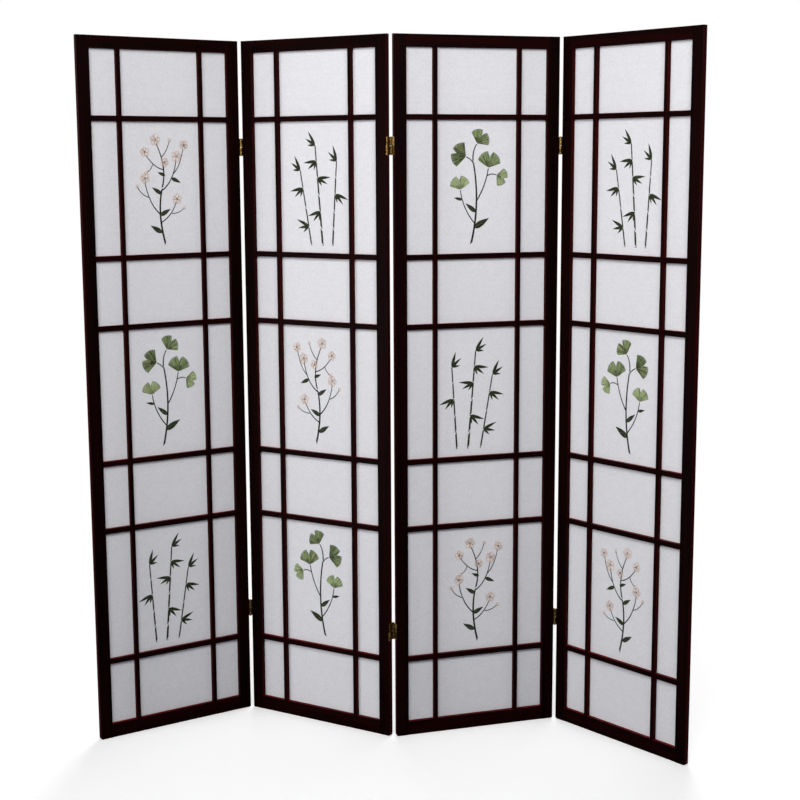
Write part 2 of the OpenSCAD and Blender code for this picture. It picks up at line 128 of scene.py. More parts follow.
def on_panel(points, k):
    """Points of a panel's own frame, moved to where panel k stands."""
    return directions_on_panel(points, k) + [*CORNERS[k - 1], 0]


# Camera -------------------------------------------------------------------------------------------

# The photograph's camera, as the screen's edges in it fit best: angles in degrees, its place from
# the second panel's front left corner, its height, and its focal length in pixels
CAMERA_YAW, CAMERA_PITCH, CAMERA_ROLL = -0.969, -8.976, -0.259
CAMERA_X, CAMERA_Y, CAMERA_H = 0.4769, -4.0061, 1.4920
FOCAL_LENGTH_PX, PICTURE_W_PX, SENSOR_W_MM = 1513.4, 800, 36


def make_camera():
    """The photograph's view: from the front, a little above the middle, looking slightly down."""
    yaw, pitch, roll = (math.radians(a) for a in (CAMERA_YAW, CAMERA_PITCH, CAMERA_ROLL))
    x, y = CORNERS[1]
    place = Vector((x + CAMERA_X, y + CAMERA_Y, CAMERA_H))
    forward = Vector((math.sin(yaw) * math.cos(pitch), math.cos(yaw) * math.cos(pitch),
                      math.sin(pitch)))
    level = Vector((math.cos(yaw), -math.sin(yaw), 0))
    upright = level.cross(forward)
    right = level * math.cos(roll) + upright * math.sin(roll)
    up = upright * math.cos(roll) - level * math.sin(roll)
    data = bpy.data.cameras.new("camera")
    data.sensor_width = SENSOR_W_MM
    data.lens = SENSOR_W_MM * FOCAL_LENGTH_PX / PICTURE_W_PX
    data.clip_end = 60
    camera = bpy.data.objects.new("camera", data)
    axes = Matrix((right, up, -forward)).transposed().to_4x4()
    camera.matrix_world = Matrix.Translation(place) @ axes
    bpy.context.scene.collection.objects.link(camera)
    bpy.context.scene.camera = camera


# Node helpers -------------------------------------------------------------------------------------

FLOAT, COLOUR, VECTOR = "NodeSocketFloat", "NodeSocketColor", "NodeSocketVector"
INTEGER, MATERIAL, GEOMETRY = "NodeSocketInt", "NodeSocketMaterial", "NodeSocketGeometry"


def add(tree, kind, inputs=None, **settings):
    """A node of that kind with its settings and inputs, each a value or another node's socket."""
    node = tree.nodes.new(kind)
    for name, value in settings.items():
        setattr(node, name, value)
    for key, value in (inputs or {}).items():
        if isinstance(value, bpy.types.NodeSocket):
            tree.links.new(value, node.inputs[key])
        else:
            node.inputs[key].default_value = value
    return node


def maths(tree, operation, *values, clamp=False):
    node = add(tree, "ShaderNodeMath", dict(enumerate(values)), operation=operation,
               use_clamp=clamp)
    return node.outputs[0]


def plus(tree, a, b):
    return maths(tree, "ADD", a, b)


def minus(tree, a, b):
    return maths(tree, "SUBTRACT", a, b)


def times(tree, a, b):
    return maths(tree, "MULTIPLY", a, b)


def vector_maths(tree, operation, a, b):
    return add(tree, "ShaderNodeVectorMath", {0: a, 1: b}, operation=operation).outputs[0]


def parts_of(tree, vector):
    """A vector's x, y and z."""
    return add(tree, "ShaderNodeSeparateXYZ", {0: vector}).outputs


def mix_colour(tree, factor, a, b):
    """Colour a where the factor is 0, and b where it is 1."""
    return add(tree, "ShaderNodeMix", {0: factor, 6: a, 7: b}, data_type="RGBA").outputs[2]


def spread(tree, value, low, high, to_low=0.0, to_high=1.0):
    """A value's range from low to high, stretched and clamped to another range."""
    ends = {0: value, 1: low, 2: high, 3: to_low, 4: to_high}
    return add(tree, "ShaderNodeMapRange", ends, clamp=True).outputs[0]


def noise(tree, vector, scale, detail=2.0, roughness=0.5):
    return add(tree, "ShaderNodeTexNoise", {"Vector": vector, "Scale": scale, "Detail": detail,
                                            "Roughness": roughness}).outputs["Fac"]


def bump(tree, height, depth, strength):
    node = add(tree, "ShaderNodeBump", {"Height": height, "Distance": depth, "Strength": strength})
    return node.outputs[0]


def new_input(tree, label, kind, value=None):
    """A group's new input, which it returns."""
    socket = tree.interface.new_socket(label, in_out="INPUT", socket_type=kind)
    if value is not None:
        socket.default_value = value
    return socket


def shader_group(name, inputs, outputs):
    """An empty shader node group, the sockets that it reads and those that it writes."""
    tree = bpy.data.node_groups.new(name, "ShaderNodeTree")
    for label, kind, value in inputs:
        new_input(tree, label, kind, value)
    for label, kind in outputs:
        tree.interface.new_socket(label, in_out="OUTPUT", socket_type=kind)
    return tree, tree.nodes.new("NodeGroupInput").outputs, tree.nodes.new("NodeGroupOutput").inputs


def link_all(tree, sockets, inputs):
    """Link each named socket to the input of that name."""
    for label, socket in sockets.items():
        tree.links.new(socket, inputs[label])


# Effects, as node groups --------------------------------------------------------------------------

# How much the grain is squeezed in each direction: along the member it is drawn out
UPRIGHT_GRAIN, CROSSWISE_GRAIN = (1, 1, 0.03), (0.03, 1, 1)


def grain_group():
    """Wood grain under a stained lacquer: long fibres, short pores and a broad soft figure."""
    tree, given, out = shader_group(
        "wood_grain", [("Vector", VECTOR, None), ("Stretch", VECTOR, UPRIGHT_GRAIN),
                       ("Dark", COLOUR, None), ("Light", COLOUR, None)],
        [("Colour", COLOUR), ("Fibres", FLOAT), ("Height", FLOAT)])
    fibre_scale, figure_scale, pore_scale = 620, 75, 1500
    fibre_share, figure_share, pore_shade = 0.55, 0.45, 0.6
    along = vector_maths(tree, "MULTIPLY", given["Vector"], given["Stretch"])
    fibres = noise(tree, along, fibre_scale, detail=3, roughness=0.62)
    figure = noise(tree, along, figure_scale)
    pores = spread(tree, noise(tree, along, pore_scale, detail=1), 0.6, 0.74)
    light = plus(tree, times(tree, spread(tree, fibres, 0.36, 0.68), fibre_share),
                 times(tree, spread(tree, figure, 0.4, 0.64), figure_share))
    light = times(tree, light, minus(tree, 1.0, times(tree, pores, pore_shade)))
    link_all(tree, {"Colour": mix_colour(tree, light, given["Dark"], given["Light"]),
                    "Fibres": fibres, "Height": minus(tree, times(tree, fibres, 0.5), pores)}, out)
    return tree


def edge_wear_group():
    """Lacquer rubbed down on the chamfers, found from a face's direction in the panel's frame."""
    tree, given, out = shader_group(
        "edge_wear", [("Normal", VECTOR, None), ("Vector", VECTOR, None),
                      ("Patch size", FLOAT, 0.03)], [("Mask", FLOAT)])
    least_rubbed = 0.3
    x, y, z = parts_of(tree, given["Normal"])
    # A chamfer faces two ways at once, and a flat side only one
    both = [maths(tree, "ABSOLUTE", times(tree, a, b)) for a, b in ((x, y), (y, z), (x, z))]
    slant = maths(tree, "MAXIMUM", maths(tree, "MAXIMUM", both[0], both[1]), both[2])
    scale = maths(tree, "DIVIDE", 1.0, given["Patch size"])
    patches = noise(tree, given["Vector"], scale, detail=3, roughness=0.6)
    rubbed = plus(tree, least_rubbed,
                  times(tree, spread(tree, patches, 0.42, 0.66), 1 - least_rubbed))
    link_all(tree, {"Mask": times(tree, spread(tree, slant, 0.2, 0.45), rubbed)}, out)
    return tree


def narrow_faces_top_highlight_group():
    """Paler, redder narrow faces: a little on the sides, most where they look up, a painted
    highlight.
    """
    tree, given, out = shader_group(
        "narrow_faces_top_highlight", [("Normal", VECTOR, None), ("On sides", FLOAT, 0.2)], [("Mask", FLOAT)])
    _, y, z = parts_of(tree, given["Normal"])
    narrow = spread(tree, maths(tree, "ABSOLUTE", y), 0.35, 0.6, to_low=1.0, to_high=0.0)
    amount = spread(tree, z, 0.3, 0.6, to_low=given["On sides"])
    link_all(tree, {"Mask": times(tree, narrow, amount)}, out)
    return tree


def weave_group():
    """Plain weave: warp and weft over each other by turns, with uneven threads."""
    tree, given, out = shader_group(
        "plain_weave", [("Vector", VECTOR, None), ("Pitch", FLOAT, 0.0008),
                        ("Unevenness", FLOAT, 0.5)], [("Height", FLOAT), ("Shade", FLOAT)])
    sway, sway_scale = 0.0006, 260.0
    warp_base, weft_base, swell, hollow_shade = 0.55, 0.45, 0.45, 0.25
    slub_scale, slub_squeeze, slub_relief = 420, 0.05, 0.8
    wobble = add(tree, "ShaderNodeTexNoise",
                 {"Vector": given["Vector"], "Scale": sway_scale, "Detail": 1.0})
    aside = vector_maths(tree, "MULTIPLY", wobble.outputs["Color"], (sway, sway, 0))
    x, y, _ = parts_of(tree, vector_maths(tree, "ADD", given["Vector"], aside))
    u, v = (maths(tree, "DIVIDE", place, given["Pitch"]) for place in (x, y))
    warp, weft = (maths(tree, "ABSOLUTE", maths(tree, "SINE", times(tree, place, math.pi)))
                  for place in (u, v))
    # The weft lies on top at every other crossing
    crossing = plus(tree, maths(tree, "FLOOR", u), maths(tree, "FLOOR", v))
    turn = maths(tree, "FLOORED_MODULO", crossing, 2)
    warp_over = times(tree, warp, plus(tree, warp_base, times(tree, weft, swell)))
    weft_over = times(tree, weft, plus(tree, weft_base, times(tree, warp, swell)))
    height = add(tree, "ShaderNodeMix", {0: turn, 2: warp_over, 3: weft_over},
                 data_type="FLOAT").outputs[0]
    warp_slub, weft_slub = (
        noise(tree, vector_maths(tree, "MULTIPLY", given["Vector"], squeeze), slub_scale)
        for squeeze in ((1, slub_squeeze, 1), (slub_squeeze, 1, 1)))
    slub = minus(tree, plus(tree, warp_slub, weft_slub), 1.0)
    # Uneven threads tint it at random, and painted shade darkens it where the weave lies low
    shade = plus(tree, times(tree, slub, given["Unevenness"]),
                 times(tree, minus(tree, height, 0.5), hollow_shade))
    link_all(tree, {"Height": plus(tree, height, times(tree, slub, slub_relief)),
                    "Shade": shade}, out)
    return tree


def patina_group():
    """Antique brass: bright rubbed metal, brown patina and small dark spots."""
    tree, given, out = shader_group(
        "brass_patina", [("Vector", VECTOR, None), ("Bright", COLOUR, None),
                         ("Brown", COLOUR, None), ("Dark", COLOUR, None)],
        [("Colour", COLOUR), ("Rough", FLOAT), ("Height", FLOAT)])
    cloud_scale, spot_scale, spot_shade, spot_roughness = 170, 900, 0.7, 0.2
    clouds = noise(tree, given["Vector"], cloud_scale, detail=4, roughness=0.6)
    spots = spread(tree, noise(tree, given["Vector"], spot_scale), 0.56, 0.7)
    colour = mix_colour(tree, spread(tree, clouds, 0.38, 0.56), given["Bright"], given["Brown"])
    colour = mix_colour(tree, times(tree, spots, spot_shade), colour, given["Dark"])
    rough = plus(tree, spread(tree, clouds, 0.3, 0.7, to_low=0.26, to_high=0.42),
                 times(tree, spots, spot_roughness))
    link_all(tree, {"Colour": colour, "Rough": rough,
                    "Height": minus(tree, times(tree, clouds, 0.4), spots)}, out)
    return tree


GROUPS = {"grain": grain_group(), "wear": edge_wear_group(), "narrow faces and top highlight": narrow_faces_top_highlight_group(),
          "weave": weave_group(), "patina": patina_group()}


def use_group(tree, group, inputs):
    return add(tree, "ShaderNodeGroup", inputs, node_tree=GROUPS[group]).outputs


# Materials ----------------------------------------------------------------------------------------

STAIN_DARK = (0.0008, 0.0001, 0.0001, 1)
# Grain colours of the narrow faces, paler and redder: a painted highlight where they look up
NARROW_TOP_HIGHLIGHT_DARK, NARROW_TOP_HIGHLIGHT_LIGHT = (0.045, 0.0008, 0.0010, 1), (0.18, 0.0022, 0.0034, 1)
RUBBED_EDGE = (0.040, 0.002, 0.002, 1)
# The members that share a wood material, how its grain runs and its stain's paler tone
WOOD = {"stile": (("left_stile", "right_stile"), UPRIGHT_GRAIN, (0.0085, 0.0005, 0.0005, 1)),
        "upright": (("uprights", "backing_strips"), UPRIGHT_GRAIN, (0.0150, 0.0006, 0.0006, 1)),
        "crosswise": (("top_rail", "bottom_rail", "crossbars"), CROSSWISE_GRAIN,
                      (0.0130, 0.0006, 0.0006, 1))}
CLOTH_SHADED, CLOTH_BRIGHT = (0.62, 0.615, 0.637, 1), (0.845, 0.84, 0.866, 1)
BRASS_BRIGHT, BRASS_BROWN = (0.37, 0.255, 0.075, 1), (0.105, 0.048, 0.008, 1)
BRASS_DARK = (0.015, 0.008, 0.002, 1)
BLACK, WHITE = (0, 0, 0, 1), (1, 1, 1, 1)


def new_material(name):
    """A material with only its Principled shader, its tree and that shader."""
    material = bpy.data.materials.new(name)
    material.use_nodes = True
    return material, material.node_tree, material.node_tree.nodes["Principled BSDF"]


def set_uniform(shader, values):
    """Set what is the same all over the surface on the shader's own sockets."""
    for name, value in values.items():
        shader.inputs[name].default_value = value


def turned_back(tree, vector, turn):
    """A vector in the frame of a panel that stands turned by that angle."""
    return add(tree, "ShaderNodeVectorRotate", {"Vector": vector, "Angle": math.radians(-turn)},
               rotation_type="Z_AXIS").outputs[0]


def object_place(tree):
    return add(tree, "ShaderNodeTexCoord").outputs["Object"]


def wood_material(name, turn, stretch, light):
    """Dark cherry stain under satin lacquer, its grain along the member.

    turn is the panel's, stretch the grain's, and light the stain's paler tone.
    """
    material, tree, shader = new_material(name)
    wear_strength = 0.5
    place = turned_back(tree, object_place(tree), turn)
    # A face's direction is read in the piece's own space, so that the masks turn with the panel
    facing = add(tree, "ShaderNodeNewGeometry").outputs["True Normal"]
    facing = add(tree, "ShaderNodeVectorTransform", {0: facing}, vector_type="NORMAL",
                 convert_from="WORLD", convert_to="OBJECT").outputs[0]
    facing = turned_back(tree, facing, turn)
    grain = use_group(tree, "grain", {"Vector": place, "Stretch": stretch, "Dark": STAIN_DARK,
                                      "Light": light})
    highlight_grain = use_group(tree, "grain", {"Vector": place, "Stretch": stretch,
                                       "Dark": NARROW_TOP_HIGHLIGHT_DARK, "Light": NARROW_TOP_HIGHLIGHT_LIGHT})
    wear = use_group(tree, "wear", {"Normal": facing, "Vector": place, "Patch size": 0.035})
    highlight_mask = use_group(tree, "narrow faces and top highlight", {"Normal": facing, "On sides": 0.2})
    # Painted highlight: the paler, redder grain on the narrow faces, most where they look up
    colour = mix_colour(tree, highlight_mask["Mask"], grain["Colour"], highlight_grain["Colour"])
    colour = mix_colour(tree, times(tree, wear["Mask"], wear_strength), colour, RUBBED_EDGE)
    rough = spread(tree, grain["Fibres"], 0.3, 0.7, to_low=0.36, to_high=0.50)
    relief = bump(tree, grain["Height"], depth=0.00006, strength=0.6)
    link_all(tree, {"Base Color": colour, "Roughness": rough, "Normal": relief}, shader.inputs)
    set_uniform(shader, {"Specular IOR Level": 0.018})
    return material


def cloth_material():
    """Off-white plain cloth: faint cool cast, uneven threads, soft mottling, painted shade in
    hollows.
    """
    material, tree, shader = new_material("woven_cloth")
    mottle_scale, crinkle_scale, crinkle_stretch, crinkle_relief = 45, 300, (1.0, 0.45, 1.0), 2.5
    weave_share, mottle_share, crinkle_shade_share = 0.45, 0.35, 0.9
    place = add(tree, "ShaderNodeUVMap", uv_map="weave").outputs[0]
    weave = use_group(tree, "weave", {"Vector": place, "Pitch": 0.0009, "Unevenness": 0.55})
    mottle = noise(tree, place, mottle_scale, detail=4, roughness=0.65)
    crinkle = noise(tree, vector_maths(tree, "MULTIPLY", place, crinkle_stretch), crinkle_scale,
                    roughness=0.6)
    shade = plus(tree, times(tree, weave["Shade"], weave_share),
                 times(tree, minus(tree, mottle, 0.5), mottle_share))
    # Painted shade: the crinkles darken the cloth where they lie low, as the weave does in its
    # hollows
    shade = plus(tree, shade, times(tree, minus(tree, crinkle, 0.5), crinkle_shade_share))
    factor = maths(tree, "ADD", 0.5, shade, clamp=True)
    height = plus(tree, weave["Height"], times(tree, crinkle, crinkle_relief))
    link_all(tree, {"Base Color": mix_colour(tree, factor, CLOTH_SHADED, CLOTH_BRIGHT),
                    "Normal": bump(tree, height, depth=0.00012, strength=0.8)}, shader.inputs)
    set_uniform(shader, {"Roughness": 0.9, "Specular IOR Level": 0.2, "Sheen Weight": 0.15})
    return material


def thread_material():
    """Embroidery thread. Each stitch has its own tint, and fine plies shade it."""
    material, tree, shader = new_material("embroidery_thread")
    ply_scale, deepest_shade = 1400, 0.4
    tint = add(tree, "ShaderNodeAttribute", attribute_name="tint").outputs["Color"]
    plies = noise(tree, object_place(tree), ply_scale)
    shade = spread(tree, plies, 0.35, 0.65, to_high=deepest_shade)
    link_all(tree, {"Base Color": mix_colour(tree, shade, tint, BLACK),
                    "Normal": bump(tree, plies, depth=0.00015, strength=0.6)}, shader.inputs)
    set_uniform(shader, {"Roughness": 0.6, "Specular IOR Level": 0.15, "Sheen Weight": 0.05})
    return material


def brass_material():
    """Antique brass of the hinges, their pins and their screws."""
    material, tree, shader = new_material("antique_brass")
    patina = use_group(tree, "patina", {"Vector": object_place(tree), "Bright": BRASS_BRIGHT,
                                        "Brown": BRASS_BROWN, "Dark": BRASS_DARK})
    relief = bump(tree, patina["Height"], depth=0.00005, strength=0.6)
    link_all(tree, {"Base Color": patina["Colour"], "Roughness": patina["Rough"],
                    "Normal": relief}, shader.inputs)
    set_uniform(shader, {"Metallic": 1.0})
    return material


def set_material(obj, material):
    obj.data.materials.clear()
    obj.data.materials.append(material)


def dress_frame_nodes():
    """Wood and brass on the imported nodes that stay."""
    brass = brass_material()
    for k in PANELS:
        for kind, (pieces, stretch, light) in WOOD.items():
            wood = wood_material(f"cherry_{kind}_{k}", TURNS[k - 1], stretch, light)
            for piece in pieces:
                set_material(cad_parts[f"panel_{k}_{piece}"], wood)
    for name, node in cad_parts.items():
        if "hinge" in name or "links" in name:
            set_material(node, brass)


# Cloth --------------------------------------------------------------------------------------------

CLOTH_COLUMNS, CLOTH_ROWS = 54, 230
# The cloth's front is this far behind the back of the lattice where it touches it
TOUCH_GAP = 0.00002
# Panel k's slack is drawn from this seed plus k
SLACK_SEED = 40


def new_mesh_object(name, vertices, faces):
    mesh = bpy.data.meshes.new(name)
    mesh.from_pydata([tuple(v) for v in vertices], [], faces)
    obj = bpy.data.objects.new(name, mesh)
    bpy.context.scene.collection.objects.link(obj)
    return obj


def shade_smooth(obj):
    obj.data.polygons.foreach_set("use_smooth", [True] * len(obj.data.polygons))


def window_cells():
    """Each window of a panel: its left, right, bottom and top."""
    columns = [(STILE_W, UPRIGHT_X[0]), (UPRIGHT_X[0] + UPRIGHT_W, UPRIGHT_X[1]),
               (UPRIGHT_X[1] + UPRIGHT_W, PANEL_W - STILE_W)]
    edges = [BOTTOM_RAIL_H - CROSSBAR_H, *CROSSBAR_Z, PANEL_H - TOP_RAIL_H]
    rows = [(low + CROSSBAR_H, high) for low, high in zip(edges, edges[1:])]
    return [(*column, *row) for column in columns for row in rows]


def slack(x, z, k):
    """How far panel k's cloth stands back from the lattice: a shallow wavy belly in each window."""
    random = np.random.default_rng(SLACK_SEED + k)
    belly_depths, wave_depth = (0.00015, 0.0004), 0.00012
    depth = np.zeros_like(x)
    for left, right, bottom, top in window_cells():
        u, v = (x - left) / (right - left), (z - bottom) / (top - bottom)
        inside = (u > 0) & (u < 1) & (v > 0) & (v < 1)
        belly = np.maximum(16 * u * (1 - u) * v * (1 - v), 0)
        depth += np.where(inside, belly ** 0.7 * random.uniform(*belly_depths), 0)
        phase = u * random.uniform(0.5, 1.4) + v * random.uniform(0.6, 1.6) + random.random()
        wave = np.sin(2 * math.pi * phase)
        depth += np.where(inside, belly ** 0.5 * (1 + wave) * wave_depth, 0)
    return depth


def sheet_faces(columns, rows):
    """Faces of a closed sheet: a front grid, a back grid whose points follow it, and the edge."""
    wide = columns + 1
    count = wide * (rows + 1)
    faces = []
    for j in range(rows):
        for i in range(columns):
            a = j * wide + i
            faces.append((a, a + 1, a + 1 + wide, a + wide))
            faces.append((count + a, count + a + wide, count + a + 1 + wide, count + a + 1))
    bottom = list(range(wide))
    right = [j * wide + columns for j in range(1, rows + 1)]
    top = [rows * wide + i for i in range(columns - 1, -1, -1)]
    left = [j * wide for j in range(rows - 1, 0, -1)]
    rim = bottom + right + top + left
    for a, b in zip(rim, rim[1:] + rim[:1]):
        faces.append((b, a, count + a, count + b))
    return faces


def make_cloth(k, material):
    """One stretched sheet behind the lattice, its edge held in the rebate.
    """
    overlap = REBATE_W - REBATE_GAP
    left, right = STILE_W - overlap, PANEL_W - STILE_W + overlap
    bottom, top = BOTTOM_RAIL_H - overlap, PANEL_H - TOP_RAIL_H + overlap
    x, z = np.meshgrid(np.linspace(left, right, CLOTH_COLUMNS + 1),
                       np.linspace(bottom, top, CLOTH_ROWS + 1))
    x, z = x.ravel(), z.ravel()
    back = slack(x, z, k)
    front_face = on_panel(np.stack([x, REBATE_Y + TOUCH_GAP + back, z], axis=1), k)
    back_face = on_panel(np.stack([x, REBATE_Y + CLOTH_T + back, z], axis=1), k)
    obj = new_mesh_object(f"panel_{k}_woven_cloth", np.concatenate([front_face, back_face]),
                          sheet_faces(CLOTH_COLUMNS, CLOTH_ROWS))
    mesh = obj.data
    uv = mesh.uv_layers.new(name="weave")
    vertex = np.zeros(len(mesh.loops), int)
    mesh.loops.foreach_get("vertex_index", vertex)
    flat = np.stack([np.tile(x - left, 2)[vertex], np.tile(z - bottom, 2)[vertex]], axis=1)
    uv.uv.foreach_set("vector", flat.astype(np.float32).ravel())
    shade_smooth(obj)
    set_material(obj, material)
    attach(obj, f"panel_{k}")
    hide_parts(f"panel_{k}_cloth")


# Embroidery: motifs, in millimetres ---------------------------------------------------------------

# A motif is drawn round the middle of its window, in a field of MOTIF_W by MOTIF_H
MOTIF_W, MOTIF_H, MOTIF_MARGIN = 170, 280, 20
# Motifs of each panel from the bottom up
MOTIF_ORDER = (("bamboo", "ginkgo", "blossom"), ("ginkgo", "blossom", "bamboo"),
               ("blossom", "bamboo", "ginkgo"), ("blossom", "ginkgo", "bamboo"))
THREAD_W, THREAD_PITCH = 0.95, 0.8
# How much further from the cloth a stitch lies that is sewn over others
TOP_STITCH = 0.25
# How unevenly stitches are sewn: their ends' spread, and the ranges of their widths and tints
END_SPREAD, WIDTH_RANGE, TINT_RANGE = 0.12, (0.9, 1.1), (0.72, 1.25)


def linear(*levels):
    """A colour written in 0 to 255, as the linear light that shaders use."""
    shares = [v / 255 for v in levels]
    return np.array([s / 12.92 if s <= 0.04045 else ((s + 0.055) / 1.055) ** 2.4 for s in shares])


STEM, LEAF, OLIVE = linear(26, 28, 14), linear(38, 44, 20), linear(64, 68, 36)
GREEN, PALE_GREEN = linear(146, 162, 114), linear(172, 186, 136)
PETAL, PETAL_EDGE, KNOT = linear(255, 238, 228), linear(216, 152, 124), linear(52, 36, 20)


def bend(p, t):
    """A curve that leaves p[0], bends towards p[1] and ends at p[2]."""
    t = np.asarray(t, float)[:, None]
    return (1 - t) ** 2 * p[0] + 2 * t * (1 - t) * p[1] + t ** 2 * p[2]


def side_step(p, t, w):
    """From that curve to the left edge of a band of width w along it."""
    t = np.asarray(t, float)[:, None]
    d = (1 - t) * (p[1] - p[0]) + t * (p[2] - p[1])
    d /= np.linalg.norm(d, axis=1, keepdims=True)
    return np.stack([-d[:, 1], d[:, 0]], axis=1) * np.asarray(w)[:, None] / 2


def placed(points, at, angle):
    """Points turned about the origin and then moved by at."""
    return turned(points[:, 0], points[:, 1], angle).T + at


def ring(angles, radius):
    a = np.radians(angles)
    return np.stack([np.cos(a), np.sin(a)], axis=1) * np.reshape(radius, (-1, 1))


class Sewing:
    """Stitches of one motif, in its field.

    Each has two ends, a width, a colour and a height over the cloth.
    """

    def __init__(self, seed):
        self.random = np.random.default_rng(seed)
        self.ends, self.widths, self.tints, self.lifts = [], [], [], []

    def sew(self, starts, stops, colour, width=THREAD_W, lift=0.0, specks=0.0):
        """specks is the share of the stitches that are in olive thread."""
        for a, b in zip(starts, stops):
            shift = self.random.normal(0, END_SPREAD, 4)
            thread = OLIVE if self.random.random() < specks else colour
            self.ends.append((a[0] + shift[0], a[1] + shift[1], b[0] + shift[2], b[1] + shift[3]))
            self.widths.append(width * self.random.uniform(*WIDTH_RANGE))
            self.tints.append(thread * self.random.uniform(*TINT_RANGE))
            self.lifts.append(lift)

    def line(self, points, colour, width):
        """Back stitches from point to point, over what lies below them."""
        self.sew(points[:-1], points[1:], colour, width, TOP_STITCH)

    def stem(self, a, b, c, w0, w1, colour=STEM):
        """Slanting stitches along a bent stem that narrows from w0 to w1."""
        least_w, lean_per_w, lean_least_w, most_lean = 1.1, 1.3, 1.6, 0.4
        p = np.array([a, b, c], float)
        length = np.linalg.norm(np.diff(bend(p, np.linspace(0, 1, 24)), axis=0), axis=1).sum()
        # The share of the stem's length that a stitch runs along it while it crosses it
        lean = min(most_lean, lean_per_w * max(w0, w1, lean_least_w) / length)
        t = np.linspace(0, 1 - lean, max(3, int(length * (1 - lean) / THREAD_PITCH)))
        near = np.maximum(w0 + (w1 - w0) * t, least_w)
        far = np.maximum(w0 + (w1 - w0) * (t + lean), least_w)
        self.sew(bend(p, t) + side_step(p, t, near),
                 bend(p, t + lean) - side_step(p, t + lean, far), colour)

    def leaf(self, foot, angle, length, width):
        """A pointed leaf. A wider one has a half on each side of its rib."""
        lean, two_halves_from, drawn_rib_from = 0.14, 6.5, 9

        def half(t):
            return width / 2 * np.sin(math.pi * np.clip(t, 0, 1) ** 0.7)

        t = np.linspace(0, 1 - lean, int(length / THREAD_PITCH))
        if width < two_halves_from:
            low = np.stack([length * t, -half(t)], axis=1)
            high = np.stack([length * (t + lean), half(t + lean)], axis=1)
            self.sew(placed(low, foot, angle), placed(high, foot, angle), LEAF)
            return
        for side, tone in ((-1, 0.9), (1, 1.2)):
            rib = np.stack([length * t, 0 * t], axis=1)
            rim = np.stack([length * (t + lean), side * half(t + lean)], axis=1)
            self.sew(placed(rib, foot, angle), placed(rim, foot, angle), LEAF * tone, specks=0.12)
        if width > drawn_rib_from:
            rib = np.stack([np.linspace(0.08, 0.86, 9) * length, np.zeros(9)], axis=1)
            self.line(placed(rib, foot, angle), GREEN * 0.5, width=0.6)

    def flower(self, at, r, angle):
        """Five round petals with outlines, a stamen between each two and knots in the middle."""
        petal_r, heart_r, knots_r = 0.42 * r, 0.24 * r, 0.17 * r
        stamen_r, half_head, half_knot = [0.1 * r, 0.55 * r], [0.6, 0], [0.8, 0]
        turn = np.linspace(-100, 100, 9)
        for i in range(5):
            way = angle + 72 * i
            rim = placed(ring(turn, petal_r) + [r - petal_r, 0], at, way)
            heart = np.stack([np.full(9, heart_r), 0.0009 * r * turn], axis=1)
            self.sew(placed(heart, at, way), rim, PETAL, width=1.25)
            self.line(rim, PETAL_EDGE, width=0.7)
            stamen = placed(ring([0, 0], stamen_r), at, way + 36)
            self.line(stamen, KNOT, width=0.5)
            head = stamen[1:]
            self.sew(head - half_head, head + half_head, KNOT, width=1.2, lift=TOP_STITCH)
        knots = np.concatenate([[[0, 0]], ring(np.arange(0, 360, 60), knots_r)])
        knots = placed(knots, at, angle)
        self.sew(knots - half_knot, knots + half_knot, KNOT, width=1.6, lift=TOP_STITCH)

    def bud(self, at, r):
        """A small round bud with an outline and a green foot."""
        x = np.linspace(-0.8, 0.8, 5) * r
        tall = np.sqrt(r * r - x * x)
        at = np.array(at, float)
        self.sew(at + np.stack([x, -tall], axis=1), at + np.stack([x, tall], axis=1), PETAL,
                 width=1.2)
        self.line(at + ring(np.linspace(-90, 270, 9), r), PETAL_EDGE, width=0.7)
        self.sew(at + [[-1.2, -r]], at + [[1.2, -r + 0.8]], LEAF, width=1.6, lift=TOP_STITCH)

    def fan(self, foot, angle, r, colour, specks):
        """A ginkgo leaf: two bands of long stitches, veins over them and an outline."""
        half_angle, steps, notch, droop = 64, 12, 0.62, 0.16
        # All in shares of r: how far the inner band's ends and the outer band's starts stray, the
        # shortest stitch, the points of a vein, how far its tip strays, and the points of a side
        end_stray, start_stray, shortest = (-0.05, 0.05), (-0.06, 0.03), 0.1
        vein, tip_stray, side = (0.08, 0.45, 0.82), (-0.1, 0.08), (0.04, 0.45, 0.84)
        corner = np.linspace(-half_angle, half_angle, steps + 1)
        reach = r * np.where(np.arange(steps + 1) == steps // 2, notch, 1)
        reach = reach * (1 - droop * (corner / half_angle) ** 2)
        # An outer band that ends at the leaf's edge, and an inner one that ends ragged over it
        for low, high, pitch, tone, more_specks in ((0.42, 1.0, 1.0, 1.15, 1.0),
                                                    (0.04, 0.6, 1.5, 0.9, 1.6)):
            outer = high == 1.0
            arc = math.radians(2 * half_angle) * r * high
            count = int(arc / (THREAD_PITCH * pitch))
            a = np.linspace(-half_angle, half_angle, count)
            far = np.interp(a, corner, reach)
            if not outer:
                far = np.minimum(far, (high + self.random.uniform(*end_stray, count)) * r)
            uneven = self.random.uniform(*start_stray, count) * r * outer
            near = np.minimum(low * r + uneven, far - shortest * r)
            self.sew(placed(ring(a, near), foot, angle), placed(ring(a, far), foot, angle),
                     colour * tone, width=1.0, specks=specks * more_specks)
        for a in (-54, -38, -22, -9, 9, 22, 38, 54):
            reaches = np.array(vein) + [0, 0, self.random.uniform(*tip_stray)]
            self.line(placed(ring([a, a * 0.97, a], reaches * r), foot, angle), OLIVE, width=0.6)
        self.line(placed(ring(corner, reach), foot, angle), OLIVE, width=0.9)
        for a in (-half_angle, half_angle):
            self.line(placed(ring([a, a, a], np.array(side) * r), foot, angle), OLIVE, width=0.8)


